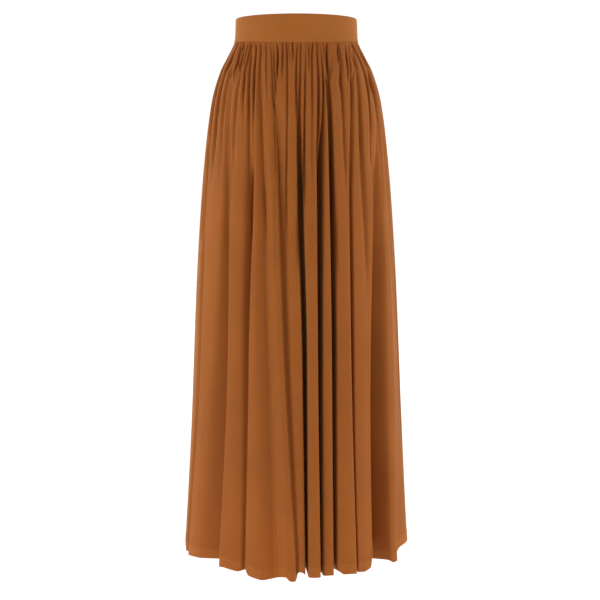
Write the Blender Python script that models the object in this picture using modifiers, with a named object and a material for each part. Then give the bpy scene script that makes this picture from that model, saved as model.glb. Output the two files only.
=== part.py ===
"""A full gathered maxi skirt on a plain shaped waistband, hanging open and hollow as it does when worn.

Metres, +Z up, the front faces -Y and the wearer's left side is at +X. The origin is the middle of the waist
opening, halfway up the band. Angles run round the skirt in degrees: 0 at centre front, 90 at the wearer's left
side seam, 180 at centre back and 270 at the right side seam. A drop is a distance below the waist seam.
"""

import math
import random
from collections import namedtuple

import bmesh
import bpy
import numpy as np

# Heights
BAND_TOP = 0.025
SIDE_SEAM_HEIGHT = -0.0195
SEAM_DIP = 0.0085
HEM_HEIGHT = -1.025
SIDE_HEM_RISE = 0.012
SKIRT_LENGTH = 1.0

# Cloth
BAND_WALL = 0.0026
SKIRT_WALL = 0.0013
SEAM_GAP = 0.0003
MM = 0.001

# The form that the outer folds lie on, from the waist seam down to the hem
Form = namedtuple("Form", "drop half_width front_depth back_depth")
FORM = (
    Form(0.000, 0.1203, 0.0895, 0.0900),
    Form(0.010, 0.1250, 0.0935, 0.0945),
    Form(0.029, 0.1345, 0.1010, 0.1040),
    Form(0.058, 0.1488, 0.1115, 0.1175),
    Form(0.116, 0.1655, 0.1285, 0.1400),
    Form(0.204, 0.1774, 0.1430, 0.1570),
    Form(0.320, 0.1874, 0.1540, 0.1700),
    Form(0.500, 0.1970, 0.1680, 0.1840),
    Form(0.740, 0.2055, 0.1830, 0.1960),
    Form(1.000, 0.2178, 0.1980, 0.2080),
)
# The band's outer face, which is widest at its lower edge
BAND_HALF_WIDTHS = (0.1184, 0.1190, 0.1212)
BAND_HALF_DEPTHS = (0.0875, 0.0885, 0.0905)
# Folds run in towards a point this far beyond the middle, so that their walls stay nearly square to the view
FOLD_FOCUS = 0.20

# The long folds, one row for each valley between two of them. An angle and a depth in mm stand for each of
# the levels below the seam. floor is the valley's width, and left and right are how far its two slopes run,
# in degrees at the thigh and at the hem. lifts move the fold on its right out at the hem, in mm, at that
# fold's left and right shoulders.
SEAM, YOKE, HIP, THIGH, KNEE, HEM = LEVELS = (0.0, 0.078, 0.153, 0.302, 0.60, 0.97)
Valley = namedtuple("Valley", "angles depths floor left right lifts")
FRONT_VALLEYS = (
    Valley((-76, -69, -70, -67, -67.5, -73), (0, 5, 7, 9, 13, 17), (2.0, 2.0), (5.0, 5.0), (0.5, 0.5), (9, 2)),
    Valley((-46, -42, -42, -41, -39.8, -40), (0, 6, 5, 9, 30, 60), (2.0, 1.6), (9.0, 19.0), (0.5, 0.5), (0, -6)),
    Valley((-35, -30, -28, -26.3, -26.2, -25.7), (0, 8, 9, 14, 28, 40), (2.0, 1.5), (5.0, 5.0), (0.5, 0.5), (2, 10)),
    Valley((-29, -24, -21.7, -18, -15, -12.7), (0, 3, 5, 6, 9, 13), (2.5, 3.0), (5.5, 5.0), (4.5, 5.0), (8, 16)),
    Valley((-20, -16.7, -13.2, -9.8, -6, -0.4), (0, 6, 10, 15, 30, 60), (1.6, 1.2), (0.5, 0.5), (3.5, 1.0), (-38, -44)),
    Valley((2.5, 2.6, 2.4, 3.1, 4.3, 5.2), (0, 10, 26, 48, 76, 95), (3.0, 0.9), (0.5, 0.4), (0.5, 0.4), (2, 2)),
    Valley((18, 16, 14.4, 13.9, 12.6, 11.9), (0, 7, 22, 44, 60, 68), (2.0, 0.9), (0.5, 0.4), (0.5, 0.4), (-10, -12)),
    Valley((25.6, 23, 22, 21.3, 20.4, 18.8), (0, 15, 33, 56, 82, 105), (2.4, 1.8), (0.5, 0.5), (0.7, 2.5), (-6, 13)),
    Valley((47, 41, 37.2, 33.4, 31.3, 31.7), (0, 6, 9, 15, 30, 46), (1.6, 1.2), (0.5, 0.5), (3.5, 1.0), (-4, -20)),
    Valley((66, 60, 56, 52, 49.5, 56), (0, 6, 9, 15, 36, 62), (6.0, 8.0), (0.6, 7.5), (12.0, 0.6), (8, 8)),
    Valley((80, 75, 71, 68.5, 69, 77), (0, 4, 5, 6, 8, 13), (1.6, 1.6), (0.5, 12.0), (4.0, 4.0), (2, 3)),
)
BACK_VALLEYS = (
    Valley((101, 106, 109, 111, 112, 113), (0, 5, 8, 12, 18, 24), (2.0, 2.0), (5.0, 5.0), (0.5, 0.5), (4, 0)),
    Valley((118, 120, 122, 125, 127, 127), (0, 7, 14, 26, 40, 52), (2.6, 1.6), (0.5, 0.5), (3.0, 3.0), (0, 4)),
    Valley((134, 136, 137, 139, 141, 144), (0, 4, 6, 9, 14, 18), (2.5, 3.0), (5.0, 5.0), (4.5, 4.5), (-2, -4)),
    Valley((148, 150, 152, 153, 154, 155), (0, 10, 22, 40, 60, 74), (2.6, 1.6), (0.5, 0.5), (0.6, 0.6), (4, 0)),
    Valley((161, 163, 164, 166, 167, 168), (0, 6, 12, 24, 38, 48), (1.8, 1.4), (3.5, 3.5), (0.5, 0.5), (0, 4)),
    Valley((175, 176, 177, 179, 180, 179), (0, 12, 28, 50, 74, 88), (2.8, 1.6), (0.5, 0.5), (0.5, 0.5), (-6, -2)),
    Valley((188, 189, 190, 191, 193, 195), (0, 5, 10, 18, 30, 44), (1.8, 1.4), (0.5, 0.5), (4.0, 4.0), (4, 2)),
    Valley((203, 205, 206, 206, 205, 207), (0, 9, 20, 38, 58, 72), (2.6, 1.6), (0.6, 0.6), (0.5, 0.5), (2, 6)),
    Valley((217, 219, 221, 222, 220, 220), (0, 4, 6, 10, 16, 20), (2.5, 3.0), (4.5, 4.5), (5.0, 5.0), (-2, 0)),
    Valley((232, 234, 235, 237, 236, 234), (0, 8, 15, 28, 44, 58), (2.4, 1.6), (3.5, 8.0), (0.5, 0.5), (3, 0)),
    Valley((251, 250, 250, 251, 253, 255), (0, 6, 8, 12, 20, 26), (1.8, 1.8), (0.5, 0.5), (5.0, 5.0), (2, 2)),
)
# How far the hem hangs below its level, in mm, at some angles round the skirt
HEM_SAGS = ((-90, 0), (-24, 0), (-16, 2), (-9, 0), (-4, 7), (-1, 7), (3, 0), (16, 0), (19, -5), (23, 0), (270, 0))
SIDE_LIFT = 3 * MM
CREST_BULGE = 2 * MM
SHOULDER_CUT = 7 * MM
CREST_CUT = 30 * MM
FLOOR_CUT_SHARE = 0.35
MOST_CUT_SHARE = 0.36
MOST_SLOPE_SHARE = 0.62
POINTS_A_VALLEY = 5

# Short creases that run down from the gathers and fade: angle at the seam and at the end, where they end,
# depth in mm and half width in degrees
Crease = namedtuple("Crease", "seam_angle end_angle end depth half_width")
FRONT_CREASES = (
    Crease(-71, -60, 0.200, 5.0, 1.8),
    Crease(-64, -45, 0.330, 4.0, 2.6),
    Crease(-56, -43, 0.125, 6.0, 1.7),
    Crease(-40.8, -28.4, 0.165, 6.0, 1.5),
    Crease(-25, -17.8, 0.160, 3.0, 1.8),
    Crease(-15, -12.6, 0.095, 6.5, 1.5),
    Crease(-6.8, -4.0, 0.290, 4.5, 2.4),
    Crease(-2.3, -1.5, 0.060, 5.5, 1.3),
    Crease(7.6, 4.6, 0.230, 6.5, 1.4),
    Crease(12.4, 9.4, 0.180, 3.5, 1.6),
    Crease(21.0, 16.1, 0.190, 4.0, 1.4),
    Crease(36.0, 28.7, 0.150, 6.0, 1.6),
    Crease(44.5, 37.5, 0.105, 4.5, 1.5),
    Crease(60.0, 43.5, 0.270, 6.5, 1.8),
    Crease(73.0, 54.0, 0.300, 5.5, 1.8),
)
BACK_CREASES = 13
CREASE_SEED = 7

# Gathers, as sewn at the waist seam. A gather is three of the mesh's columns wide.
GATHER_HEIGHT = 2.6 * MM
GATHER_COLUMNS = 3
GATHER_LEVELS = (0.0, 0.010, 0.030, 0.060, 0.100, 0.150)
GATHER_STRENGTH = (0.35, 1.00, 0.90, 0.50, 0.18, 0.0)
GATHER_SEED = 3
SPREAD_DROP = 0.085

# Rows of the mesh, as shares of the way from the waist seam to the hem
ROWS = (0.0, 0.009, 0.023, 0.046, 0.078, 0.115, 0.155, 0.215, 0.305, 0.430, 0.600, 0.790, 1.0)
BAND_COLUMNS = 28

CARAMEL = (0.385, 0.130, 0.038, 1.0)


def smooth(levels, values, at):
    """The monotone cubic curve through a table's values, so nothing overshoots between two levels."""
    levels, values, at = (np.asarray(x, float) for x in (levels, values, at))
    step = np.diff(levels)
    slope = np.diff(values) / step
    same_way = slope[1:] * slope[:-1] > 0
    total = np.where(same_way, slope[1:] + slope[:-1], 1.0)
    inner = np.where(same_way, 2 * slope[1:] * slope[:-1] / total, 0.0)
    tangent = np.concatenate([slope[:1], inner, slope[-1:]])
    i = np.clip(np.searchsorted(levels, at, side="right") - 1, 0, len(step) - 1)
    t = np.clip((at - levels[i]) / step[i], 0.0, 1.0)
    rise = values[i + 1] - values[i]
    start, end = tangent[i] * step[i], tangent[i + 1] * step[i]
    return values[i] + t * (start + t * (3 * rise - 2 * start - end + t * (start + end - 2 * rise)))


def ease(t):
    """0 to 1 with soft ends."""
    t = np.clip(t, 0.0, 1.0)
    return t * t * (3 - 2 * t)


def form_sizes(drop):
    """The form's half width, front depth and back depth at these drops."""
    drops, *sizes = zip(*FORM)
    return [smooth(drops, size, drop) for size in sizes]


def on_form(angle, drop, lift):
    """Plan position of the point at this angle on the form at this drop, moved out by lift."""
    turn = np.radians(angle)
    half_width, front, back = form_sizes(drop)
    x = half_width * np.sin(turn)
    y = -np.where(np.cos(turn) > 0, front, back) * np.cos(turn)
    across, away = -x, FOLD_FOCUS * np.cos(turn) - y
    length = np.hypot(across, away)
    return x - lift * across / length, y - lift * away / length


def lower_part(pairs, drop):
    """A row for each pair of values at the thigh and the hem, read at these drops."""
    return np.array([smooth((THIGH, HEM), pair, drop) for pair in pairs])


def control_points(valleys, start, end, drop):
    """The corners of a panel's section, for each drop: their angles, lifts and how much each is rounded off.

    From one valley to the next they are its left shoulder, two floor corners and right shoulder, and the
    crest of the fold between."""
    angle = np.array([smooth(LEVELS, v.angles, drop) for v in valleys])
    depth = np.array([smooth(LEVELS, v.depths, drop) for v in valleys]) * MM
    floor = lower_part([v.floor for v in valleys], drop)
    growth = ease((drop - HIP) / (HEM - HIP))
    side = np.full((1, len(drop)), SIDE_LIFT) * growth
    lift_right = np.concatenate([growth * [[v.lifts[0]] for v in valleys[:-1]] * MM, side])
    lift_left = np.concatenate([side, growth * [[v.lifts[1]] for v in valleys[:-1]] * MM])
    crest_lift = (np.concatenate([side, lift_right]) + np.concatenate([lift_left, side])) / 2 + CREST_BULGE * growth

    floor_left, floor_right = angle - floor / 2, angle + floor / 2
    ends = np.full((1, len(drop)), float(start)), np.full((1, len(drop)), float(end))
    room = np.concatenate([floor_left, ends[1]]) - np.concatenate([ends[0], floor_right])
    wanted_left = lower_part([v.left for v in valleys] + [(0.0, 0.0)], drop)
    wanted_right = lower_part([(0.0, 0.0)] + [v.right for v in valleys], drop)
    share = np.minimum(1.0, MOST_SLOPE_SHARE * room / (wanted_left + wanted_right))
    shoulder_left = floor_left - (wanted_left * share)[:-1]
    shoulder_right = floor_right + (wanted_right * share)[1:]
    crest = (np.concatenate([ends[0], shoulder_right]) + np.concatenate([shoulder_left, ends[1]])) / 2

    angles, lifts, cuts = [ends[0][0], crest[0]], [side[0], crest_lift[0]], [None, CREST_CUT]
    for i in range(len(valleys)):
        angles += [shoulder_left[i], floor_left[i], floor_right[i], shoulder_right[i], crest[i + 1]]
        lifts += [lift_left[i], -depth[i], -depth[i], lift_right[i], crest_lift[i + 1]]
        cuts += [SHOULDER_CUT, None, None, SHOULDER_CUT, CREST_CUT]
    angles.append(ends[1][0])
    lifts.append(side[0])
    cuts.append(None)

    # At the waist seam the same points stand evenly between the valleys
    centres = 2.5 + POINTS_A_VALLEY * np.arange(len(valleys)) + 1
    anchors = np.concatenate([[0.0], centres, [len(angles) - 1.0]])
    seam_angles = np.concatenate([[start], [v.angles[0] for v in valleys], [end]])
    even = np.interp(np.arange(len(angles)), anchors, seam_angles)
    spread = ease(drop / SPREAD_DROP)
    angles = even[:, None] * (1 - spread) + np.array(angles) * spread
    return angles, np.array(lifts), cuts


def rounded(x, y, cuts, steps):
    """The section through these corners with each one rounded off, steps + 1 points a corner and steps - 1
    on the straight to the next. Returns x, y and each point's column, which counts two a corner."""
    points = np.stack([x, y], axis=-1)
    span = np.linalg.norm(np.diff(points, axis=0), axis=-1)
    before, after, columns = [points[0]], [points[0]], [0.0]
    line = [points[0]]
    for i in range(1, len(points) - 1):
        floor_width = min(span[i - 1].min(), span[i].min())
        cut = cuts[i] if cuts[i] else max(FLOOR_CUT_SHARE * floor_width, 0.2 * MM)
        back = np.minimum(cut, MOST_CUT_SHARE * span[i - 1]) / span[i - 1]
        ahead = np.minimum(cut, MOST_CUT_SHARE * span[i]) / span[i]
        before.append(points[i] + (points[i - 1] - points[i]) * back[:, None])
        after.append(points[i] + (points[i + 1] - points[i]) * ahead[:, None])
    before.append(points[-1])
    for i in range(1, len(points) - 1):
        for k in range(1, steps):
            line.append(after[i - 1] + (before[i] - after[i - 1]) * k / steps)
            columns.append(2 * i - 2 + k / steps + (1 if i > 1 else 0))
        for k in range(steps + 1):
            t = k / steps
            line.append((1 - t) ** 2 * before[i] + 2 * t * (1 - t) * points[i] + t**2 * after[i])
            columns.append(2 * i + t)
    for k in range(1, steps + 1):
        line.append(after[-1] + (before[-1] - after[-1]) * k / steps)
        columns.append(2 * len(points) - 3 + k / steps)
    line = np.array(line)
    return line[..., 0], line[..., 1], np.array(columns)


def back_creases(start, end):
    """Short creases for the hidden side, like the front's and as uneven."""
    chance = random.Random(CREASE_SEED)
    pitch = (end - start) / BACK_CREASES
    creases = []
    for i in range(BACK_CREASES):
        seam_angle = start + pitch * (i + 0.5 + chance.uniform(-0.3, 0.3))
        middle = (start + end) / 2
        end_angle = middle + (seam_angle - middle) * 0.86
        length = chance.uniform(0.09, 0.28)
        creases.append(Crease(seam_angle, end_angle, length, chance.uniform(3.5, 6.5), chance.uniform(1.4, 2.3)))
    return creases


def crease_depth(creases, angle, drop):
    """How far the short creases press the cloth in at these angles and drops."""
    depth = np.zeros_like(angle)
    for crease in creases:
        along = drop / crease.end
        centre = crease.seam_angle + (crease.end_angle - crease.seam_angle) * (1 - (1 - np.clip(along, 0, 1)) ** 2)
        fade = ease(drop / 0.02) * (1 - ease((along - 0.35) / 0.65))
        depth += crease.depth * MM * fade * np.exp(-(((angle - centre) / crease.half_width) ** 2))
    return depth


def gather_height(columns, drop, seed):
    """How far each column stands out or in as a gather at this drop."""
    chance = random.Random(seed)
    count = int(columns[-1] / GATHER_COLUMNS) + 2
    strengths = [chance.uniform(0.7, 1.25) for _ in range(count)]
    strength = np.interp(columns / GATHER_COLUMNS, np.arange(count), strengths)
    wave = np.cos(2 * math.pi * columns / GATHER_COLUMNS) * strength
    return GATHER_HEIGHT * wave[:, None] * smooth(GATHER_LEVELS, GATHER_STRENGTH, drop)


def seam_height(angle):
    return SIDE_SEAM_HEIGHT - SEAM_DIP * np.cos(np.radians(angle)) ** 2


def panel_surface(valleys, creases, start, end, shares, steps, seed):
    """Points of a skirt panel's outer face, [column, row], for rows at these shares of its length."""
    drop = np.array(shares) * SKIRT_LENGTH
    angles, lifts, cuts = control_points(valleys, start, end, drop)
    x, y, columns = rounded(*on_form(angles, drop, lifts), cuts, steps)

    middle = (start + end) / 2
    half_width, front, back = form_sizes(drop)
    depth = front if math.cos(math.radians(middle)) > 0 else back
    angle = np.degrees(np.arctan2(x / half_width, -y / depth))
    angle = middle + (angle - middle + 180) % 360 - 180

    out = gather_height(columns, drop, seed) - crease_depth(creases, angle, drop)
    far_x, far_y = on_form(angle, drop, MM)
    near_x, near_y = on_form(angle, drop, 0.0)
    x = x + (far_x - near_x) / MM * out
    y = y + (far_y - near_y) / MM * out

    top = seam_height(angle) - SEAM_GAP
    sag = np.interp(angle, *zip(*HEM_SAGS)) * MM
    bottom = HEM_HEIGHT + SIDE_HEM_RISE * np.sin(np.radians(angle)) ** 2 - sag
    z = top + (bottom - top) * np.array(shares)
    return x, y, z


def grid_object(name, x, y, z, wall, material, collection):
    """An open sheet through these points, [column, row], with its outer face out and a wall given inwards."""
    columns, rows = x.shape
    mesh = bmesh.new()
    verts = [
        [mesh.verts.new((x[c, r], y[c, r], z[c, r])) for r in range(rows)]
        for c in range(columns)
    ]
    for c in range(columns - 1):
        for r in range(rows - 1):
            mesh.faces.new((verts[c][r], verts[c][r + 1], verts[c + 1][r + 1], verts[c + 1][r]))
    data = bpy.data.meshes.new(name)
    mesh.to_mesh(data)
    mesh.free()
    data.shade_smooth()
    data.materials.append(material)
    piece = bpy.data.objects.new(name, data)
    collection.objects.link(piece)
    solid = piece.modifiers.new("wall", "SOLIDIFY")
    solid.thickness = wall
    solid.offset = -1
    return piece


def square_ends(x, y, start, end):
    """Both ends set a hair from the side seam, with the last strip facing straight out so its wall is too."""
    gap = SEAM_GAP / 2 * (1 if math.cos(math.radians((start + end) / 2)) < 0 else -1)
    for last, beside in ((0, 1), (-1, -2)):
        x[beside] = x[last]
        y[last] = gap


def skirt_panel(name, valleys, creases, start, end, seed, material, collection):
    """One cut panel of the skirt, gathered into the band, from one side seam to the other."""
    x, y, z = panel_surface(valleys, creases, start, end, ROWS, 1, seed)
    square_ends(x, y, start, end)
    return grid_object(name, x, y, z, SKIRT_WALL, material, collection)


def band_half(name, start, end, material, collection):
    """Half of the doubled waistband, shaped so that it is deeper at centre front and back."""
    angle = np.linspace(start, end, BAND_COLUMNS + 1)
    turn = np.radians(angle)[:, None]
    x = np.array(BAND_HALF_WIDTHS) * np.sin(turn)
    y = -np.array(BAND_HALF_DEPTHS) * np.cos(turn)
    square_ends(x, y, start, end)
    low = seam_height(angle)
    z = np.stack([np.full_like(low, BAND_TOP), 0.35 * BAND_TOP + 0.65 * low, low], axis=-1)
    band = grid_object(name, x, y, z, BAND_WALL, material, collection)
    edges = band.modifiers.new("soft edges", "BEVEL")
    edges.width = 0.9 * MM
    edges.segments = 2
    edges.limit_method = "ANGLE"
    return band


def cloth_material(name, roughness):
    material = bpy.data.materials.new(name)
    material.use_nodes = True
    shader = material.node_tree.nodes["Principled BSDF"]
    shader.inputs["Base Color"].default_value = CARAMEL
    shader.inputs["Roughness"].default_value = roughness
    shader.inputs["Metallic"].default_value = 0.0
    return material


def clear_scene():
    for obj in list(bpy.data.objects):
        bpy.data.objects.remove(obj)


def main():
    clear_scene()
    collection = bpy.data.collections.new("gathered_maxi_skirt")
    bpy.context.scene.collection.children.link(collection)
    sides = (("front", -90, 90, FRONT_VALLEYS, FRONT_CREASES), ("back", 90, 270, BACK_VALLEYS, back_creases(90, 270)))
    skirt = cloth_material("skirt_cloth", 0.62)
    band = cloth_material("waistband_cloth", 0.58)
    for number, (side, start, end, valleys, creases) in enumerate(sides):
        skirt_panel(f"skirt_{side}", valleys, creases, start, end, GATHER_SEED + number, skirt, collection)
        band_half(f"waistband_{side}", start, end, band, collection)


main()
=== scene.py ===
"""The dressed view of the gathered maxi skirt: cloth shells on the solids' form, soft light and the camera.

Metres, +Z up, the front faces -Y and the wearer's left side is at +X. Angles run round the skirt in degrees:
0 at centre front, 90 at the wearer's left side seam and 180 at centre back. A drop is a distance in metres
below the waist seam, and a row's share is its part of the way from that seam down to the hem.
"""

import math
import random
from collections import namedtuple

import bmesh
import bpy
import numpy as np
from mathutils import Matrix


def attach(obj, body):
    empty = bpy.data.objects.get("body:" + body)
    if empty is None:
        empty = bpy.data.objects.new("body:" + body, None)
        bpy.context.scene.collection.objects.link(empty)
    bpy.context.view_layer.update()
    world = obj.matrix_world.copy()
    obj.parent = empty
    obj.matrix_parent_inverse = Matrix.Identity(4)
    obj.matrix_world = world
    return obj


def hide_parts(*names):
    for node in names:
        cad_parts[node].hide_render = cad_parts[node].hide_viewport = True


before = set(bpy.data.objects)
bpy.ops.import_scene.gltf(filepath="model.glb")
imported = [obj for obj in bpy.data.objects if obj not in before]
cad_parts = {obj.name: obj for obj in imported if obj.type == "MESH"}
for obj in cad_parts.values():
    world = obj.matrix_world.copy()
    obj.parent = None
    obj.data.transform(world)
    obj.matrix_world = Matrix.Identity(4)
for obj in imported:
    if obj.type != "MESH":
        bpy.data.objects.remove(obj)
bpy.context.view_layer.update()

MM = 0.001

# Heights, all as in the solids but the seam's, which is 1.5 mm lower
BAND_TOP = 0.025
SIDE_SEAM_HEIGHT = -0.0210
SEAM_DIP = 0.0085
HEM_HEIGHT = -1.025
SIDE_HEM_RISE = 0.012
SKIRT_LENGTH = 1.0

# The skirt's wall where it is double, at the turned hem, and the share of it that a single layer has
SKIRT_WALL = 1.5 * MM
SINGLE_SHARE = 0.5
BAND_WALL = 2.4 * MM
SEAM_GAP = 0.06 * MM

# The turned hem, in shares of the length: its height, how late its wall starts and the run of its relief
HEM_TURNING = 0.022
HEM_WALL_LAG = 0.001
HEM_RELIEF_RUN = 0.0015
HEM_RELIEF = 0.5 * MM

# How far the skirt reaches up behind the band's lower edge, and what a flat width has to spare
TUCK = 1.0 * MM
WIDTH_TO_SPARE = 1.02

# Camera in metres, degrees and millimetres, and the floor
CAMERA_PLACE = (0.0073, -2.6, -0.3256)
CAMERA_TILT = 4.35
CAMERA_LENS = 78.96
SENSOR = 36.0
FLOOR_HEIGHT = -1.38

# The skirt's form without folds, as in the solids, in metres
Form = namedtuple("Form", "drop half_width front_depth back_depth")
FORM = (
    Form(0.000, 0.1203, 0.0895, 0.0900),
    Form(0.010, 0.1250, 0.0935, 0.0945),
    Form(0.029, 0.1345, 0.1010, 0.1040),
    Form(0.058, 0.1488, 0.1115, 0.1175),
    Form(0.116, 0.1655, 0.1285, 0.1400),
    Form(0.204, 0.1774, 0.1430, 0.1570),
    Form(0.320, 0.1874, 0.1540, 0.1700),
    Form(0.500, 0.1970, 0.1680, 0.1840),
    Form(0.740, 0.2055, 0.1830, 0.1960),
    Form(1.000, 0.2178, 0.1980, 0.2080),
)

# A fold moves out along the line from a point beyond the middle, this far beyond it at centre front and back
FOLD_FOCUS = 0.20

# The band's outer face from its top fold down to the seam: share of the way down, half width and half depth
Profile = namedtuple("Profile", "share half_width half_depth")
BAND_PROFILE = (
    Profile(0.00, 0.1172, 0.0863),
    Profile(0.04, 0.1181, 0.0872),
    Profile(0.12, 0.1184, 0.0876),
    Profile(0.50, 0.1188, 0.0883),
    Profile(0.80, 0.1197, 0.0892),
    Profile(0.96, 0.1211, 0.0904),
    Profile(1.00, 0.1206, 0.0899),
)

# The drops of the levels, which are the seam, yoke, hip, thigh, knee and hem
HIP, THIGH, HEM = 0.153, 0.302, 0.97
LEVELS = (0.0, 0.078, HIP, THIGH, 0.60, HEM)

# The long folds, one row for each valley between two of them: an angle and a depth in mm for each level, then
# the width of its floor and of its left and right slopes, in degrees at the thigh and the hem. The lifts are
# how many mm the fold on its right stands out at the hem, at that fold's left and right edge. A last row's
# lifts aren't used. The back's rows are the solids' own. The front's have angles and depths of their own, so
# its folds run a little off the solids' folds.
Valley = namedtuple("Valley", "angles depths floor left right lifts")
FRONT_VALLEYS = (
    Valley((-84, -82, -76, -70, -67, -74.5), (0, 15, 22, 16, 5, 20),
           (1.5, 2), (4, 4), (0.5, 0.5), (5, -4)),
    Valley((-68, -53, -49.5, -44, -42, -44.5), (0, 5, 4, 11, 24, 36),
           (2, 1.5), (4, 14), (0.5, 0.5), (-3, -11)),
    Valley((-35, -30, -28, -26.5, -27.5, -27.5), (0, 2, 2, 15, 17, 17),
           (1, 1), (5, 1.5), (0.5, 0.5), (-6, -1)),
    Valley((-27, -26, -23, -19, -15, -10.5), (0, 3, 5, 8, 12, 13),
           (1, 2), (5.5, 6), (4, 4.5), (-1, -2)),
    Valley((-23, -17.5, -11.5, -9, -5.5, 0.5), (0, 1, 7, 14, 13, 10),
           (2, 1), (1, 0.5), (4.5, 0.5), (-7, -12)),
    Valley((3.5, 2.5, 2, 3, 5, 5.5), (0, 2, 11, 43, 68, 76),
           (2, 0.5), (1.5, 0.5), (0.5, 0.5), (-7, 1)),
    Valley((17.5, 16, 15.5, 14.5, 13.5, 13), (0, 1, 4, 43, 52, 52),
           (2, 0.5), (1.5, 0.5), (0.5, 0.5), (-6, 1)),
    Valley((27, 22.5, 22, 21.5, 21, 20), (0, 8, 19, 42, 68, 80),
           (2.5, 1), (0.5, 0.5), (0.5, 0.5), (-3, 6)),
    Valley((57, 42.5, 38.5, 33.5, 32.5, 33), (0, 3, 2, 8, 18, 28),
           (1, 1.5), (1, 1), (1, 0.5), (-14, -16)),
    Valley((78, 66, 59, 55, 50.5, 49.5), (0, 4, 2, 16, 44, 56),
           (1.5, 2), (1.5, 3), (10, 7.5), (-1, 6)),
    Valley((84, 77, 76, 76, 76, 66), (0, 2, 7, 8, 3, 8),
           (2.5, 2), (6, 3.5), (7, 12), (2, 3)),
)
BACK_VALLEYS = (
    Valley((101, 106, 109, 111, 112, 113), (0, 5, 8, 12, 18, 24),
           (2, 2), (5, 5), (0.5, 0.5), (4, 0)),
    Valley((118, 120, 122, 125, 127, 127), (0, 7, 14, 26, 40, 52),
           (2.6, 1.6), (0.5, 0.5), (3, 3), (0, 4)),
    Valley((134, 136, 137, 139, 141, 144), (0, 4, 6, 9, 14, 18),
           (2.5, 3), (5, 5), (4.5, 4.5), (-2, -4)),
    Valley((148, 150, 152, 153, 154, 155), (0, 10, 22, 40, 60, 74),
           (2.6, 1.6), (0.5, 0.5), (0.6, 0.6), (4, 0)),
    Valley((161, 163, 164, 166, 167, 168), (0, 6, 12, 24, 38, 48),
           (1.8, 1.4), (3.5, 3.5), (0.5, 0.5), (0, 4)),
    Valley((175, 176, 177, 179, 180, 179), (0, 12, 28, 50, 74, 88),
           (2.8, 1.6), (0.5, 0.5), (0.5, 0.5), (-6, -2)),
    Valley((188, 189, 190, 191, 193, 195), (0, 5, 10, 18, 30, 44),
           (1.8, 1.4), (0.5, 0.5), (4, 4), (4, 2)),
    Valley((203, 205, 206, 206, 205, 207), (0, 9, 20, 38, 58, 72),
           (2.6, 1.6), (0.6, 0.6), (0.5, 0.5), (2, 6)),
    Valley((217, 219, 221, 222, 220, 220), (0, 4, 6, 10, 16, 20),
           (2.5, 3), (4.5, 4.5), (5, 5), (-2, 0)),
    Valley((232, 234, 235, 237, 236, 234), (0, 8, 15, 28, 44, 58),
           (2.4, 1.6), (3.5, 8), (0.5, 0.5), (3, 0)),
    Valley((251, 250, 250, 251, 253, 255), (0, 6, 8, 12, 20, 26),
           (1.8, 1.8), (0.5, 0.5), (5, 5), (2, 2)),
)

# How far the hem hangs below its plain line
Sag = namedtuple("Sag", "angle mm")
HEM_SAGS = (
    Sag(-90, -9), Sag(-84, -7), Sag(-81, 6), Sag(-76, 8), Sag(-66, 3), Sag(-48, -3), Sag(-44, 2),
    Sag(-40, 1), Sag(-32, 4), Sag(-27, -3), Sag(-25, 6), Sag(-17, 11), Sag(-12, 8), Sag(-7, 3),
    Sag(-5, 2), Sag(-3, 9), Sag(0, 10), Sag(0.8, -4), Sag(2, -7), Sag(4, -4), Sag(6, 4), Sag(11, 3),
    Sag(14, 2), Sag(17, 1), Sag(19, 1), Sag(20.5, -8), Sag(24, 2), Sag(30, 3), Sag(32, 7), Sag(34, 8),
    Sag(40, 11), Sag(45, 7), Sag(47.5, -24), Sag(54, -21), Sag(55, -12), Sag(56, -4), Sag(57, 3),
    Sag(58, 7), Sag(65, 5), Sag(72, -9), Sag(81, -12), Sag(90, -12),
    Sag(104, -2), Sag(122, 5), Sag(139, -3), Sag(158, 6), Sag(173, -2), Sag(192, 4), Sag(206, -4),
    Sag(228, 5), Sag(247, 0), Sag(262, -7), Sag(270, -9),
)

# How far the side seams and the folds' crests stand out at the hem
SIDE_LIFT = 3 * MM
CREST_BULGE = 2 * MM

# How much of its edges each corner of a section loses: a shoulder more for each degree of its slope, and a
# floor's corner a share of the floor's width, but never more than a share of an edge
SHOULDER_CUT = 3.5 * MM
SLOPE_CUT = 1.1 * MM
CREST_CUT = 30 * MM
FLOOR_CUT_SHARE = 0.35
LEAST_FLOOR_CUT = 0.2 * MM
MOST_CUT_SHARE = 0.42

# The most of the room between two floors that slopes take
MOST_SLOPE_SHARE = 0.62

# Corners from one floor's middle to the next, the first floor's middle, and the drop where all are in place
POINTS_A_VALLEY = 5
FIRST_FLOOR = 3.5
SPREAD_DROP = 0.085

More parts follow.
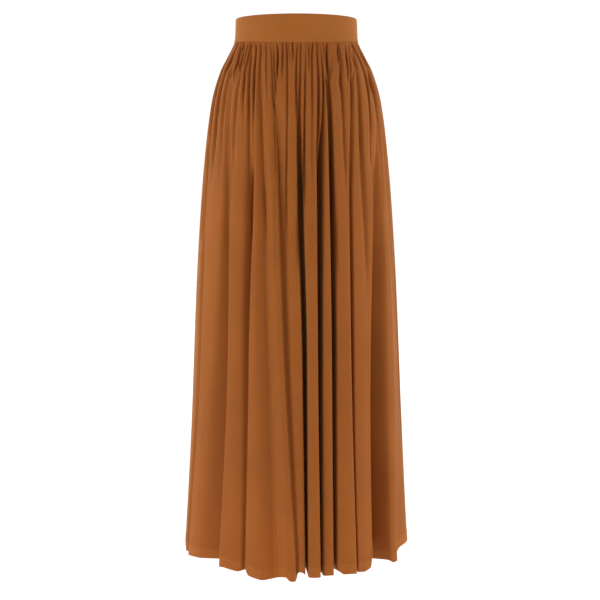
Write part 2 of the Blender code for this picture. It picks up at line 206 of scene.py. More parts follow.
# Creases: the drops where each starts and ends, then its angle in degrees and its depth in mm, before the
# gains below, at the start, half way and at the end. The ones that start at 0 run down out of the gathers.
Crease = namedtuple("Crease", "top end angles depths")
FRONT_CREASES = (
    Crease(0.00, 0.10, (-85.5, -85, -84.5), (1, 1.5, 0.5)),
    Crease(0.26, 0.80, (-86, -85.5, -85.5), (1, 1.5, 1)),
    Crease(0.22, 0.36, (-80, -81, -80), (4, 1.5, 0.5)),
    Crease(0.27, 0.36, (-77, -79, -76), (2, 4, 4)),
    Crease(0.00, 0.24, (-77, -75, -72), (8, 9, 2)),
    Crease(0.00, 0.26, (-68, -65, -62), (6, 7, 0)),
    Crease(0.00, 0.07, (-62, -54, -48), (2, 2, 1)),
    Crease(0.00, 0.22, (-61, -57, -53), (0.5, 2, 1)),
    Crease(0.00, 0.17, (-57, -51, -48), (3, 1.5, 1)),
    Crease(0.00, 0.05, (-54, -50, -48), (1, 1.5, 4)),
    Crease(0.00, 0.24, (-50, -43, -41), (1, 2, 1)),
    Crease(0.15, 0.29, (-46, -44.5, -41.5), (0, 2, 1.5)),
    Crease(0.00, 0.17, (-45.5, -39, -34), (2.5, 2.5, 0.5)),
    Crease(0.00, 0.25, (-51, -32.5, -30), (1.5, 3.5, 1)),
    Crease(0.00, 0.19, (-42, -30, -26.5), (1.5, 2.5, 0)),
    Crease(0.00, 0.11, (-35.5, -28, -25), (2, 1.5, 1)),
    Crease(0.26, 0.36, (-26, -27.5, -27), (3, 4, 5)),
    Crease(0.11, 0.28, (-24, -21.5, -19.5), (2, 1.5, 0.5)),
    Crease(0.28, 0.36, (-19, -18.5, -17.5), (2.5, 2, 1.5)),
    Crease(0.00, 0.12, (-29.5, -22, -18), (1.5, 1.5, 0.5)),
    Crease(0.00, 0.36, (-27, -13.5, -11.5), (1, 4, 1.5)),
    Crease(0.00, 0.09, (-21, -17, -14), (0.5, 2.5, 3)),
    Crease(0.00, 0.075, (-19, -14.5, -13.5), (1.5, 5, 2.5)),
    Crease(0.00, 0.055, (-12, -11, -10), (2, 3.5, 2)),
    Crease(0.00, 0.30, (-10, -5.5, -5.5), (3, 3, 5)),
    Crease(0.00, 0.045, (-6, -5.5, -3.5), (1.5, 1.5, 0.5)),
    Crease(0.00, 0.03, (-2.5, -3, -2.5), (6, 3, 2)),
    Crease(0.00, 0.12, (2.5, 0, 0), (1.5, 3.5, 4)),
    Crease(0.00, 0.36, (4.5, 2, 1), (2.5, 3, 6.5)),
    Crease(0.00, 0.26, (11, 5.5, 5), (0.5, 4, 8)),
    Crease(0.00, 0.05, (11.5, 10.5, 9.5), (1.5, 2, 1.5)),
    Crease(0.00, 0.22, (16.5, 10.5, 9.5), (3, 2.5, 2)),
    Crease(0.01, 0.21, (18.5, 15, 13), (1.5, 4.5, 6)),
    Crease(0.00, 0.03, (19, 18.5, 17.5), (1, 1.5, 1.5)),
    Crease(0.00, 0.36, (23, 17, 14.5), (0, 8, 8)),
    Crease(0.00, 0.36, (26, 21.5, 22.5), (1, 1.5, 8)),
    Crease(0.00, 0.055, (31, 26, 24.5), (2.5, 3.5, 3)),
    Crease(0.00, 0.08, (39, 37.5, 32), (1.5, 2.5, 3)),
    Crease(0.00, 0.22, (44, 32, 30.5), (2, 3, 2)),
    Crease(0.00, 0.07, (53, 44.5, 40), (0.5, 2.5, 1.5)),
    Crease(0.00, 0.36, (63, 36.5, 34), (1, 2.5, 0)),
    Crease(0.00, 0.36, (71, 44.5, 44.5), (0.5, 4, 2.5)),
    Crease(0.00, 0.16, (54, 49, 44.5), (0.5, 1, 0)),
    Crease(0.00, 0.22, (61, 59, 53), (2, 3.5, 2)),
    Crease(0.00, 0.26, (71, 68, 64), (5, 2, 0.5)),
    Crease(0.00, 0.24, (78, 76, 75), (1.5, 3, 1)),
    Crease(0.11, 0.36, (66, 61, 55), (0.5, 1.5, 1)),
    Crease(0.00, 0.13, (85.5, 85, 84.5), (1, 1.5, 0.5)),
    Crease(0.30, 0.82, (86, 85.5, 85), (0.5, 1.5, 1)),
)
BACK_LONG_CREASES = (
    Crease(0.200, 0.780, (98, 97, 96), (1, 1.5, 1)),
    Crease(0.240, 0.820, (262, 263, 263.5), (1, 1.5, 1)),
)

# The back's creases out of the gathers, in even places but for a share of their pitch: their lower ends, the
# power that keeps most of them short, a sway in degrees, and depths at the start, half way and at the end
BACK_CREASES = 38
CREASE_SEED = 7
BACK_JITTER = 0.35
BACK_SHORTEST = 0.03
BACK_LONGER = 0.27
BACK_MOSTLY_SHORT = 1.7
BACK_SWAY = 1.0
BACK_DEPTHS = ((3.5, 7), (3, 7), (1, 4))

# A crease's half width in mm and the gain on its depth, by drop. Toward the sides both grow by a share, and
# its bottom is rounded off over a small width.
CREASE_WIDTHS = ((0.0, 2.6), (0.03, 3.4), (0.10, 5.0), (0.30, 8.5))
CREASE_GAINS = ((0.0, 3.1), (0.09, 2.8), (0.15, 2.3))
SIDE_SPREAD = 0.6
CREASE_ROUND = 0.45 * MM

# A crease from the seam starts with this share of its depth and has all of it at this drop. The others set in
# over a share of their length above their top. All run out over a share of it below their end.
CREASE_START = 0.25
CREASE_START_DROP = 0.010
CREASE_RUN_IN = 0.3
CREASE_RUN_OUT = 0.35

# Degrees beside a side seam where creases fade out
SEAM_CLEAR = 4.5

# Degrees that the gathers midway between centre and side lean in, and the drop where they have done so
LEAN = 11.0
LEAN_DROP = 0.13

# Fine gathers, sewn close and uneven between the creases: depths in mm and the drops of their lower ends
GATHERS = 40
GATHER_SEED = 5
GATHER_JITTER = 0.3
GATHER_DEPTHS = (0.3, 1.0)
GATHER_ENDS = (0.010, 0.025)

# Puckers at the band's seam and slow swells over its face, by chance: widths in degrees, depths in mm, and
# reach, middle and height in shares of the band's height
PUCKERS = 40
PUCKER_WIDTHS = (0.8, 1.8)
PUCKER_DEPTHS = (0.1, 0.32)
PUCKER_REACHES = (0.10, 0.30)
SWELLS = 5
SWELL_WIDTHS = (9, 20)
SWELL_DEPTHS = (-0.4, 0.4)
SWELL_MIDDLES = (0.3, 0.7)
SWELL_HEIGHT = 0.3

# Columns and rows of the meshes: columns on a rounded corner and between two, then rows as shares of the way
# down, the skirt's by start, end and step above the hem
ARC_STEPS = 7
STRAIGHT_STEPS = 5
ROW_STEPS = ((0.0, 0.054, 0.0027), (0.054, 0.130, 0.0055), (0.130, 0.250, 0.0120), (0.250, 0.940, 0.0345))
HEM_ROWS = (0.9400, 0.9620, 0.9755, 0.9770, 0.9785, 0.9810, 0.9900, 0.9970, 1.0)
BAND_COLUMNS = 150
BAND_ROWS = (0.0, 0.02, 0.04, 0.08, 0.14, 0.24, 0.36, 0.5, 0.64, 0.76, 0.86, 0.93, 0.96, 0.985, 1.0)

# The cloth's colours, and tints of them in its darkest drift, on the turned hem and on the stitches
SKIRT_CLOTH = (0.299, 0.0875, 0.0166)
# The band is the skirt's jersey in a lighter, paler copy of its colour: painted light on the band's face
BAND_CLOTH_PAINTED_LIGHTER = (0.337, 0.107, 0.0218)
DEEPER = 0.87
# The turned hem is painted a shade lighter: partly its doubled cloth, partly painted light from the floor
# below
HEM_DOUBLED_AND_LIT_TINT = 1.06
STITCH_TINT = 0.80

# How much the fine fleck counts beside the slow drift of shade
FLECK_SHARE = 0.35

# The hem's two rows of stitches above its edge: where a stitch fades along its wave and across its thread
STITCH_ROWS = (0.0190, 0.0215)
STITCH_LENGTH = 0.003
STITCH_ENDS = (-0.7, -0.3)
STITCH_EDGES = (0.0003, 0.0007)

# The room's strength in front of the skirt and behind it, and the softboxes in metres and watts
PALE = (0.94, 0.94, 0.94)
ROOM_FRONT = 0.18
ROOM_BACK = 1.05
WHITE = (1.0, 1.0, 1.0)
SIDE_LIGHT = (0.95, 1.0, 0.86)
SKIRT_MIDDLE = (0.0, 0.0, -0.5)
Softbox = namedtuple("Softbox", "name place target width height power colour")
SOFTBOXES = (
    Softbox("left_softbox", (-1.9, -1.2, -0.3), SKIRT_MIDDLE, 1.5, 2.4, 29.0, SIDE_LIGHT),
    Softbox("right_softbox", (1.9, -1.2, -0.3), SKIRT_MIDDLE, 1.5, 2.4, 24.0, SIDE_LIGHT),
    Softbox("top_softbox", (0.0, 7.0, 4.0), (0.0, 7.0, -1.4), 14.0, 14.0, 420.0, WHITE),
)


def smooth(levels, values, at):
    """The monotone cubic curve through a table's values, so nothing overshoots between two levels."""
    levels, values, at = (np.asarray(x, float) for x in (levels, values, at))
    step = np.diff(levels)
    slope = np.diff(values) / step
    same_way = slope[1:] * slope[:-1] > 0
    total = np.where(same_way, slope[1:] + slope[:-1], 1.0)
    inner = np.where(same_way, 2 * slope[1:] * slope[:-1] / total, 0.0)
    tangent = np.concatenate([slope[:1], inner, slope[-1:]])
    i = np.clip(np.searchsorted(levels, at, side="right") - 1, 0, len(step) - 1)
    t = np.clip((at - levels[i]) / step[i], 0.0, 1.0)
    rise = values[i + 1] - values[i]
    start, end = tangent[i] * step[i], tangent[i + 1] * step[i]
    return values[i] + t * (start + t * (3 * rise - 2 * start - end + t * (start + end - 2 * rise)))


def ease(t):
    """0 to 1 with soft ends."""
    t = np.clip(t, 0.0, 1.0)
    return t * t * (3 - 2 * t)


def form_sizes(drop):
    """The form's half width, front depth and back depth at these drops."""
    drops, *sizes = zip(*FORM)
    return [smooth(drops, size, drop) for size in sizes]


def on_form(angle, drop, lift):
    """Plan position of the point at this angle on the form at this drop, moved out by lift."""
    turn = np.radians(angle)
    half_width, front, back = form_sizes(drop)
    x = half_width * np.sin(turn)
    y = -np.where(np.cos(turn) > 0, front, back) * np.cos(turn)
    across, away = -x, FOLD_FOCUS * np.cos(turn) - y
    length = np.hypot(across, away)
    return x - lift * across / length, y - lift * away / length


def lower_part(pairs, drop):
    """A row for each pair of values at the thigh and the hem, read at these drops."""
    return np.array([smooth((THIGH, HEM), pair, drop) for pair in pairs])


def control_points(valleys, start, end, drop):
    """The corners of a panel's section, for each drop: their angles, lifts and how much each is rounded off.

    From one valley to the next they are its left shoulder, two floor corners and right shoulder, and the
    crest of the fold between. A cut of None stands for a floor's corner or an end.
    """
    angle = np.array([smooth(LEVELS, v.angles, drop) for v in valleys])
    depth = np.array([smooth(LEVELS, v.depths, drop) for v in valleys]) * MM
    floor = lower_part([v.floor for v in valleys], drop)
    growth = ease((drop - HIP) / (HEM - HIP))
    side = np.full((1, len(drop)), SIDE_LIFT) * growth
    lift_right = np.concatenate([growth * [[v.lifts[0]] for v in valleys[:-1]] * MM, side])
    lift_left = np.concatenate([side, growth * [[v.lifts[1]] for v in valleys[:-1]] * MM])
    edge_lifts = np.concatenate([side, lift_right]) + np.concatenate([lift_left, side])
    crest_lift = edge_lifts / 2 + CREST_BULGE * growth

    floor_left, floor_right = angle - floor / 2, angle + floor / 2
    ends = np.full((1, len(drop)), float(start)), np.full((1, len(drop)), float(end))
    room = np.concatenate([floor_left, ends[1]]) - np.concatenate([ends[0], floor_right])
    wanted_left = lower_part([v.left for v in valleys] + [(0.0, 0.0)], drop)
    wanted_right = lower_part([(0.0, 0.0)] + [v.right for v in valleys], drop)
    share = np.minimum(1.0, MOST_SLOPE_SHARE * room / (wanted_left + wanted_right))
    slope_left, slope_right = (wanted_left * share)[:-1], (wanted_right * share)[1:]
    shoulder_left, shoulder_right = floor_left - slope_left, floor_right + slope_right
    cut_left, cut_right = SHOULDER_CUT + SLOPE_CUT * slope_left, SHOULDER_CUT + SLOPE_CUT * slope_right
    crest = (np.concatenate([ends[0], shoulder_right]) + np.concatenate([shoulder_left, ends[1]])) / 2

    angles, lifts, cuts = [ends[0][0], crest[0]], [side[0], crest_lift[0]], [None, CREST_CUT]
    for i in range(len(valleys)):
        angles += [shoulder_left[i], floor_left[i], floor_right[i], shoulder_right[i], crest[i + 1]]
        lifts += [lift_left[i], -depth[i], -depth[i], lift_right[i], crest_lift[i + 1]]
        cuts += [cut_left[i], None, None, cut_right[i], CREST_CUT]
    angles.append(ends[1][0])
    lifts.append(side[0])
    cuts.append(None)

    # At the waist seam the same points stand evenly between the valleys
    centres = FIRST_FLOOR + POINTS_A_VALLEY * np.arange(len(valleys))
    anchors = np.concatenate([[0.0], centres, [len(angles) - 1.0]])
    seam_angles = np.concatenate([[start], [v.angles[0] for v in valleys], [end]])
    even = np.interp(np.arange(len(angles)), anchors, seam_angles)
    spread = ease(drop / SPREAD_DROP)
    angles = even[:, None] * (1 - spread) + np.array(angles) * spread
    return angles, np.array(lifts), cuts


def rounded(x, y, cuts):
    """The section through these corners with each one rounded off."""
    points = np.stack([x, y], axis=-1)
    span = np.linalg.norm(np.diff(points, axis=0), axis=-1)
    before, after = [points[0]], [points[0]]
    line = [points[0]]
    for i in range(1, len(points) - 1):
        floor_width = min(span[i - 1].min(), span[i].min())
        cut = max(FLOOR_CUT_SHARE * floor_width, LEAST_FLOOR_CUT) if cuts[i] is None else cuts[i]
        back = np.minimum(cut, MOST_CUT_SHARE * span[i - 1]) / span[i - 1]
        ahead = np.minimum(cut, MOST_CUT_SHARE * span[i]) / span[i]
        before.append(points[i] + (points[i - 1] - points[i]) * back[:, None])
        after.append(points[i] + (points[i + 1] - points[i]) * ahead[:, None])
    before.append(points[-1])
    for i in range(1, len(points) - 1):
        for k in range(1, STRAIGHT_STEPS):
            line.append(after[i - 1] + (before[i] - after[i - 1]) * k / STRAIGHT_STEPS)
        for k in range(ARC_STEPS + 1):
            t = k / ARC_STEPS
            line.append((1 - t) ** 2 * before[i] + 2 * t * (1 - t) * points[i] + t**2 * after[i])
    for k in range(1, STRAIGHT_STEPS + 1):
        line.append(after[-1] + (before[-1] - after[-1]) * k / STRAIGHT_STEPS)
    line = np.array(line)
    return line[..., 0], line[..., 1]


def inward(angle, middle, drop):
    """A seam angle carried down to this drop: gathers lean in as the form widens, the ones midway most."""
    return angle - LEAN * ease(drop / LEAN_DROP) * math.sin(math.radians(2 * (angle - middle)))


def back_creases(start, end):
    """Creases for the hidden side, like the front's and as uneven, and a long one beside each side seam."""
    chance = random.Random(CREASE_SEED)
    pitch = (end - start) / BACK_CREASES
    middle = (start + end) / 2
    creases = list(BACK_LONG_CREASES)
    for i in range(BACK_CREASES):
        angle = start + pitch * (i + 0.5 + chance.uniform(-BACK_JITTER, BACK_JITTER))
        low = BACK_SHORTEST + BACK_LONGER * chance.random() ** BACK_MOSTLY_SHORT
        sway = chance.uniform(-BACK_SWAY, BACK_SWAY)
        angles = (angle, inward(angle, middle, low / 2) + sway, inward(angle, middle, low) + sway)
        depths = tuple(chance.uniform(*pair) for pair in BACK_DEPTHS)
        creases.append(Crease(0.0, low, angles, depths))
    return creases


def fine_gathers(start, end, seed):
    """The short pinches right under the band, each a narrow crease of its own length and depth."""
    chance = random.Random(seed)
    pitch = (end - start) / GATHERS
    middle = (start + end) / 2
    creases = []
    for i in range(GATHERS):
        angle = start + pitch * (i + 0.5 + chance.uniform(-GATHER_JITTER, GATHER_JITTER))
        depth = chance.uniform(*GATHER_DEPTHS)
        low = chance.uniform(*GATHER_ENDS)
        angles = (angle, inward(angle, middle, low / 2), inward(angle, middle, low))
        creases.append(Crease(0.0, low, angles, (depth, depth, depth / 2)))
    return creases


def crease_depth(creases, angle, drop):
    """How far the creases press the cloth in at these angles and drops.

    A crease's angle runs through its three values and turns most at its top.
    """
    half_width, front, back = form_sizes(drop)
    turn = np.radians(angle)
    level_depth = np.where(np.cos(turn) > 0, front, back)
    arc = np.hypot(half_width * np.cos(turn), level_depth * np.sin(turn)) * math.pi / 180
    depth = np.zeros_like(angle)
    base_width = np.interp(drop, *zip(*CREASE_WIDTHS)) * MM
    gain = np.interp(drop, *zip(*CREASE_GAINS)) * MM
    from_seam = np.degrees(np.arcsin(np.abs(np.cos(turn))))
    half = math.sqrt(0.5)
    for crease in creases:
        length = crease.end - crease.top
        part = np.clip((drop - crease.top) / length, 0, 1)
        first, middle, last = crease.angles
        bend = (middle - first - half * (last - first)) / (0.5 - half)
        centre = first + (last - first - bend) * np.sqrt(part) + bend * part
        pressed = np.interp(part, (0, 0.5, 1), crease.depths)
        begin = ease((drop - crease.top) / length / CREASE_RUN_IN + 1)
        if crease.top == 0:
            begin = CREASE_START + (1 - CREASE_START) * ease(drop / CREASE_START_DROP)
        fade = begin * (1 - ease((drop - crease.end) / length / CREASE_RUN_OUT))
        side = 1 + SIDE_SPREAD * np.sin(np.radians(centre)) ** 2
        off = np.hypot((angle - centre) * arc, CREASE_ROUND) / (side * base_width)
        here = gain * side * pressed * fade * (1 - np.minimum(off, 1.0)) ** 2
        depth = np.hypot(depth, here)
    return depth * ease(from_seam / SEAM_CLEAR)


def seam_height(angle):
    """The waist seam's height, lowest at centre front and centre back."""
    return SIDE_SEAM_HEIGHT - SEAM_DIP * np.cos(np.radians(angle)) ** 2


def row_shares():
    """The skirt's rows, close at the gathers and at the hem."""
    shares = [share for low, high, step in ROW_STEPS for share in np.arange(low, high, step)]
    return np.array(shares + list(HEM_ROWS))


def panel_surface(valleys, creases, start, end):
    """Points of a skirt panel's outer face, [column, row], with each row's share of the way to the hem."""
    shares = row_shares()
    drop = shares * SKIRT_LENGTH
    angles, lifts, cuts = control_points(valleys, start, end, drop)
    x, y = rounded(*on_form(angles, drop, lifts), cuts)

    middle = (start + end) / 2
    half_width, front, back = form_sizes(drop)
    depth = front if math.cos(math.radians(middle)) > 0 else back
    angle = np.degrees(np.arctan2(x / half_width, -y / depth))
    angle = middle + (angle - middle + 180) % 360 - 180

    out = -crease_depth(creases, angle, drop)
    out += HEM_RELIEF * ease((shares - (1 - HEM_TURNING)) / HEM_RELIEF_RUN)
    far_x, far_y = on_form(angle, drop, MM)
    near_x, near_y = on_form(angle, drop, 0.0)
    x = x + (far_x - near_x) / MM * out
    y = y + (far_y - near_y) / MM * out

    top = seam_height(angle) + TUCK
    sag = np.interp(angle, *zip(*HEM_SAGS)) * MM
    bottom = HEM_HEIGHT + SIDE_HEM_RISE * np.sin(np.radians(angle)) ** 2 - sag
    z = top + (bottom - top) * shares
    return x, y, z, shares


def grid_object(name, x, y, z, wall, material, collection, weights=None):
    """A sheet through these points, [column, row], with a wall given inwards.

    Its UVs are metres: round it, measured on its middle row, and up from its lower edge.
    """
    columns, rows = x.shape
    mesh = bmesh.new()
    verts = [
        [mesh.verts.new((x[c, r], y[c, r], z[c, r])) for r in range(rows)]
        for c in range(columns)
    ]
    middle = rows // 2
    steps = np.hypot(np.diff(x[:, middle]), np.diff(y[:, middle]))
    along = np.concatenate([[0.0], np.cumsum(steps)])
    layer = mesh.loops.layers.uv.new("cloth")
    for c in range(columns - 1):
        for r in range(rows - 1):
            corners = ((c, r), (c, r + 1), (c + 1, r + 1), (c + 1, r))
            face = mesh.faces.new([verts[i][j] for i, j in corners])
            for loop, (i, j) in zip(face.loops, corners):
                loop[layer].uv = (along[i], z[i, j] - z[i, -1])
    data = bpy.data.meshes.new(name)
    mesh.to_mesh(data)
    mesh.free()
    data.shade_smooth()
    data.materials.append(material)
    piece = bpy.data.objects.new(name, data)
    collection.objects.link(piece)
    solid = piece.modifiers.new("wall", "SOLIDIFY")
    solid.thickness = wall
    solid.offset = -1
    if weights is not None:
        group = piece.vertex_groups.new(name="wall")
        for r in range(rows):
            group.add([c * rows + r for c in range(columns)], float(weights[r]), "REPLACE")
        solid.vertex_group = "wall"
    return piece


def square_ends(x, y, start, end):
    """Set both ends a hair from the side seam, with the last strip and its wall facing straight out."""
    gap = SEAM_GAP / 2 * (1 if math.cos(math.radians((start + end) / 2)) < 0 else -1)
    for last, beside in ((0, 1), (-1, -2)):
        x[beside] = x[last]
        y[last] = gap


def skirt_panel(side, valleys, creases, start, end, material, collection):
    """One cut panel of the skirt, with a thicker wall where the hem is turned up."""
    x, y, z, shares = panel_surface(valleys, creases, start, end)
    square_ends(x, y, start, end)
    weights = np.where(shares >= 1 - HEM_TURNING + HEM_WALL_LAG, 1.0, SINGLE_SHARE)
    return grid_object(f"skirt_{side}_cloth", x, y, z, SKIRT_WALL, material, collection, weights)


def band_half(side, start, end, seed, material, collection):
    """Half of the doubled waistband: rounded at its top fold and pulled in a little at the seam."""
    chance = random.Random(seed)
    shares = np.array(BAND_ROWS)
    angle = np.linspace(start, end, BAND_COLUMNS + 1)
    turn = np.radians(angle)[:, None]
    levels, widths, depths = zip(*BAND_PROFILE)
    pucker = np.zeros((len(angle), len(shares)))
    for _ in range(PUCKERS):
        centre = chance.uniform(start, end)
        width = chance.uniform(*PUCKER_WIDTHS)
        depth = chance.uniform(*PUCKER_DEPTHS)
        reach = chance.uniform(*PUCKER_REACHES)
        ripple = np.exp(-(((angle - centre) / width) ** 2))[:, None]
        pucker -= depth * MM * ripple * ease((shares - 1 + reach) / reach)
    for _ in range(SWELLS):
        centre = chance.uniform(start, end)
        width = chance.uniform(*SWELL_WIDTHS)
        depth = chance.uniform(*SWELL_DEPTHS)
        middle = chance.uniform(*SWELL_MIDDLES)
        swell = np.exp(-(((angle - centre) / width) ** 2))[:, None]
        pucker += depth * MM * swell * np.exp(-(((shares - middle) / SWELL_HEIGHT) ** 2))
    x = (smooth(levels, widths, shares) + pucker) * np.sin(turn)
    y = -(smooth(levels, depths, shares) + pucker) * np.cos(turn)
    square_ends(x, y, start, end)
    low = seam_height(angle)[:, None]
    z = BAND_TOP + (low - BAND_TOP) * shares
    return grid_object(f"waistband_{side}_cloth", x, y, z, BAND_WALL, material, collection)


def fade_between(nodes, links, value, low, high, start, end):
    """A soft step: start below low, end above high."""
    step = nodes.new("ShaderNodeMapRange")
    step.interpolation_type = "SMOOTHSTEP"
    for socket, number in (("From Min", low), ("From Max", high), ("To Min", start), ("To Max", end)):
        step.inputs[socket].default_value = number
    links.new(value, step.inputs["Value"])
    return step.outputs["Result"]


def math_node(nodes, links, operation, first, second):
    """A math node on a socket and a second socket or number."""
    node = nodes.new("ShaderNodeMath")
    node.operation = operation
    links.new(first, node.inputs[0])
    if isinstance(second, float):
        node.inputs[1].default_value = second
    else:
        links.new(second, node.inputs[1])
    return node.outputs["Value"]


def hem_stitches(nodes, links, along, up):
    """1 on the stitches of the twin rows that hold the turned hem, 0 elsewhere."""
    phase = math_node(nodes, links, "MULTIPLY", along, 2 * math.pi / STITCH_LENGTH)
    wave = math_node(nodes, links, "SINE", phase, 0.0)
    dash = fade_between(nodes, links, wave, *STITCH_ENDS, 0.0, 1.0)
    rows = []
    for height in STITCH_ROWS:
        off = math_node(nodes, links, "ABSOLUTE", math_node(nodes, links, "SUBTRACT", up, height), 0.0)
        rows.append(fade_between(nodes, links, off, *STITCH_EDGES, 1.0, 0.0))
    both = math_node(nodes, links, "MAXIMUM", rows[0], rows[1])
    return math_node(nodes, links, "MULTIPLY", both, dash)


def cloth_material(name, colour, hemmed):
    """Caramel crepe jersey: a fine crinkled knit face with a soft sheen, a shade deeper here and there."""
    material = bpy.data.materials.new(name)
    material.use_nodes = True
    nodes, links = material.node_tree.nodes, material.node_tree.links
    shader = nodes["Principled BSDF"]
    shader.inputs["Roughness"].default_value = 0.62
    shader.inputs["Specular IOR Level"].default_value = 0.08
    shader.inputs["Sheen Weight"].default_value = 0.12
    shader.inputs["Sheen Roughness"].default_value = 0.40
    shader.inputs["Sheen Tint"].default_value = (1.0, 0.80, 0.34, 1.0)
    shader.inputs["Subsurface Weight"].default_value = 0.25
    shader.inputs["Subsurface Radius"].default_value = (1.0, 0.20, 0.05)
    shader.inputs["Subsurface Scale"].default_value = 0.004

    place = nodes.new("ShaderNodeTexCoord")
    cloth = nodes.new("ShaderNodeUVMap")
    cloth.uv_map = "cloth"

    # A slow drift of shade over the cloth, and a fine fleck of the crepe yarn
    slow = nodes.new("ShaderNodeTexNoise")
    slow.inputs["Scale"].default_value = 9.0
    slow.inputs["Detail"].default_value = 3.0
    links.new(place.outputs["Object"], slow.inputs["Vector"])
    fleck = nodes.new("ShaderNodeTexNoise")
    fleck.inputs["Scale"].default_value = 700.0
    fleck.inputs["Detail"].default_value = 2.0
    links.new(cloth.outputs["UV"], fleck.inputs["Vector"])
    both = nodes.new("ShaderNodeMath")
    both.operation = "MULTIPLY_ADD"
    both.inputs[1].default_value = FLECK_SHARE
    links.new(fleck.outputs["Fac"], both.inputs[0])
    links.new(slow.outputs["Fac"], both.inputs[2])
    spread = nodes.new("ShaderNodeMapRange")
    spread.inputs["From Min"].default_value = 0.45
    spread.inputs["From Max"].default_value = 0.90
    links.new(both.outputs["Value"], spread.inputs["Value"])
    shade = nodes.new("ShaderNodeMix")
    shade.data_type = "RGBA"
    shade.inputs["A"].default_value = (*[c * DEEPER for c in colour], 1.0)
    shade.inputs["B"].default_value = (*colour, 1.0)
    links.new(spread.outputs["Result"], shade.inputs["Factor"])
    face = shade.outputs["Result"]
    stitches = None
    if hemmed:
        split = nodes.new("ShaderNodeSeparateXYZ")
        links.new(cloth.outputs["UV"], split.inputs["Vector"])
        stitches = hem_stitches(nodes, links, split.outputs["X"], split.outputs["Y"])
        # The turned hem's lighter tint is partly its doubled cloth and partly painted light from the floor
        # below
        low, high = HEM_TURNING - HEM_WALL_LAG, HEM_TURNING
        turned = fade_between(nodes, links, split.outputs["Y"], low, high, 1.0, 0.0)
        for mask, tint in ((turned, HEM_DOUBLED_AND_LIT_TINT), (stitches, STITCH_TINT)):
            mix = nodes.new("ShaderNodeMix")
            mix.data_type = "RGBA"
            links.new(face, mix.inputs["A"])
            mix.inputs["B"].default_value = (*[c * tint for c in colour], 1.0)
            links.new(mask, mix.inputs["Factor"])
            face = mix.outputs["Result"]
    links.new(face, shader.inputs["Base Color"])

    # The knit's fine wales under a crepe crinkle
    wales = nodes.new("ShaderNodeTexWave")
    wales.bands_direction = "X"
    wales.inputs["Scale"].default_value = 420.0
    wales.inputs["Distortion"].default_value = 1.2
    wales.inputs["Detail"].default_value = 1.0
    links.new(cloth.outputs["UV"], wales.inputs["Vector"])
    weave = nodes.new("ShaderNodeBump")
    weave.inputs["Strength"].default_value = 0.12
    weave.inputs["Distance"].default_value = 0.0003
    links.new(wales.outputs["Fac"], weave.inputs["Height"])
    crinkle = nodes.new("ShaderNodeBump")
    crinkle.inputs["Strength"].default_value = 0.18
    crinkle.inputs["Distance"].default_value = 0.0005
    links.new(fleck.outputs["Fac"], crinkle.inputs["Height"])
    links.new(weave.outputs["Normal"], crinkle.inputs["Normal"])
    normal = crinkle.outputs["Normal"]
    if hemmed:
        sewn = nodes.new("ShaderNodeBump")
        sewn.invert = True
        sewn.inputs["Strength"].default_value = 0.5
        sewn.inputs["Distance"].default_value = 0.0006
        links.new(stitches, sewn.inputs["Height"])
        links.new(normal, sewn.inputs["Normal"])
        normal = sewn.outputs["Normal"]
    links.new(normal, shader.inputs["Normal"])
    return material


def plain_material(name, colour, roughness):
    """One even colour."""
    material = bpy.data.materials.new(name)
    material.use_nodes = True
    shader = material.node_tree.nodes["Principled BSDF"]
    shader.inputs["Base Color"].default_value = (*colour, 1.0)
    shader.inputs["Roughness"].default_value = roughness
    return material


def softbox(name, place, target, width, height, power, colour):
    """An area light aimed at the target and out of the camera's sight."""
    light = bpy.data.lights.new(name, "AREA")
    light.shape = "RECTANGLE"
    light.size = width
    light.size_y = height
    light.energy = power
    light.color = colour
    lamp = bpy.data.objects.new(name, light)
    bpy.context.scene.collection.objects.link(lamp)
    lamp.location = place
    lamp.visible_camera = False
    way = [t - p for t, p in zip(target, place)]
    level = math.hypot(way[0], way[1])
    lamp.rotation_euler = (math.atan2(level, -way[2]), 0.0, math.atan2(way[1], way[0]) - math.pi / 2)


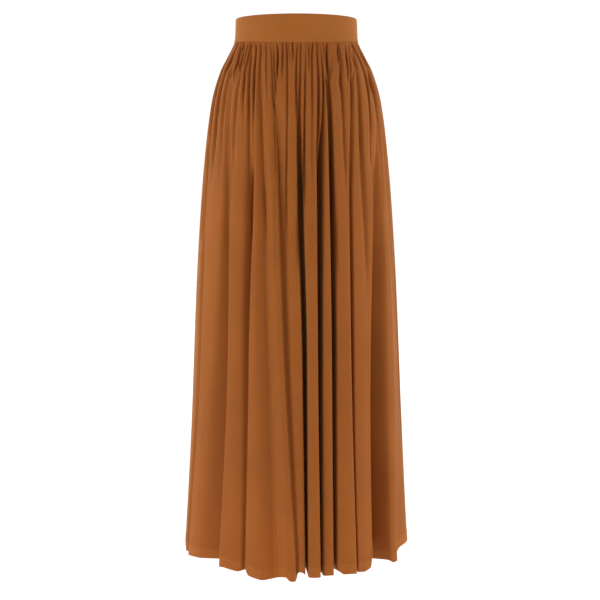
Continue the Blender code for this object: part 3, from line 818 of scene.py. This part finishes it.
def studio():
    """The room, the floor, the softboxes and the camera."""
    scene = bpy.context.scene
    scene.view_settings.view_transform = "Standard"
    world = bpy.data.worlds.new("studio")
    world.use_nodes = True
    nodes, links = world.node_tree.nodes, world.node_tree.links
    # A pale room, brighter behind the skirt than in front of it
    way = nodes.new("ShaderNodeTexCoord")
    split = nodes.new("ShaderNodeSeparateXYZ")
    links.new(way.outputs["Generated"], split.inputs["Vector"])
    depth = nodes.new("ShaderNodeMapRange")
    depth.interpolation_type = "SMOOTHSTEP"
    depth.inputs["From Min"].default_value = -1.0
    depth.inputs["From Max"].default_value = 0.0
    depth.inputs["To Min"].default_value = ROOM_FRONT
    depth.inputs["To Max"].default_value = ROOM_BACK
    links.new(split.outputs["Y"], depth.inputs["Value"])
    # What shows behind the skirt is a plain white, whichever way the room is lit
    ray = nodes.new("ShaderNodeLightPath")
    seen = nodes.new("ShaderNodeMix")
    links.new(ray.outputs["Is Camera Ray"], seen.inputs["Factor"])
    links.new(depth.outputs["Result"], seen.inputs["A"])
    seen.inputs["B"].default_value = ROOM_BACK
    links.new(seen.outputs["Result"], nodes["Background"].inputs["Strength"])
    nodes["Background"].inputs["Color"].default_value = (*WHITE, 1.0)
    scene.world = world

    floor_mesh = bpy.data.meshes.new("floor")
    reach = 14.0
    corners = [(-reach, -reach, FLOOR_HEIGHT), (reach, -reach, FLOOR_HEIGHT)]
    corners += [(reach, reach, FLOOR_HEIGHT), (-reach, reach, FLOOR_HEIGHT)]
    floor_mesh.from_pydata(corners, [], [(0, 1, 2, 3)])
    floor_mesh.materials.append(plain_material("pale_floor", PALE, roughness=0.9))
    floor = bpy.data.objects.new("floor", floor_mesh)
    scene.collection.objects.link(floor)

    for box in SOFTBOXES:
        softbox(*box)

    view = bpy.data.cameras.new("camera")
    view.sensor_width = SENSOR
    view.lens = CAMERA_LENS
    camera = bpy.data.objects.new("camera", view)
    camera.location = CAMERA_PLACE
    camera.rotation_euler = (math.radians(90 - CAMERA_TILT), 0.0, 0.0)
    scene.collection.objects.link(camera)
    scene.camera = camera


def sheet_facts(piece):
    """The area of the sheet's outer face, its length round at the middle row, and its height."""
    data = piece.data
    area = sum(face.area for face in data.polygons)
    layer = data.uv_layers["cloth"].data
    width = max(corner.uv[0] for corner in layer)
    length = max(corner.uv[1] for corner in layer)
    return area, width, length


def declare_sheet(piece):
    """Works out a cut width for what shows, wide enough for the middle row and for the sheet's area, and
    keeps nothing of it.
    """
    area, width, length = sheet_facts(piece)
    width = max(width, area / length) * WIDTH_TO_SPARE


def dress():
    """The four pieces of cloth, each with what it rides on and the part it replaces."""
    collection = bpy.data.collections.new("cloth")
    bpy.context.scene.collection.children.link(collection)
    skirt = cloth_material("skirt_jersey", SKIRT_CLOTH, True)
    # The band's material is the same jersey with its colour painted lighter and paler, as painted light
    band = cloth_material("waistband_jersey_painted_lighter", BAND_CLOTH_PAINTED_LIGHTER, False)
    sides = (
        ("front", -90, 90, FRONT_VALLEYS, FRONT_CREASES),
        ("back", 90, 270, BACK_VALLEYS, back_creases(90, 270)),
    )
    for number, (side, start, end, valleys, creases) in enumerate(sides):
        gathers = fine_gathers(start, end, GATHER_SEED + number)
        waist = band_half(side, start, end, GATHER_SEED + number, band, collection)
        panel = skirt_panel(side, valleys, [*creases, *gathers], start, end, skirt, collection)
        for piece, node, held in ((waist, "waistband", "folded"), (panel, "skirt", "gathered")):
            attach(piece, "root")
            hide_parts(f"{node}_{side}")
            if held == "folded":
                declare_sheet(piece)
            else:
                declare_sheet(piece)


studio()
dress()
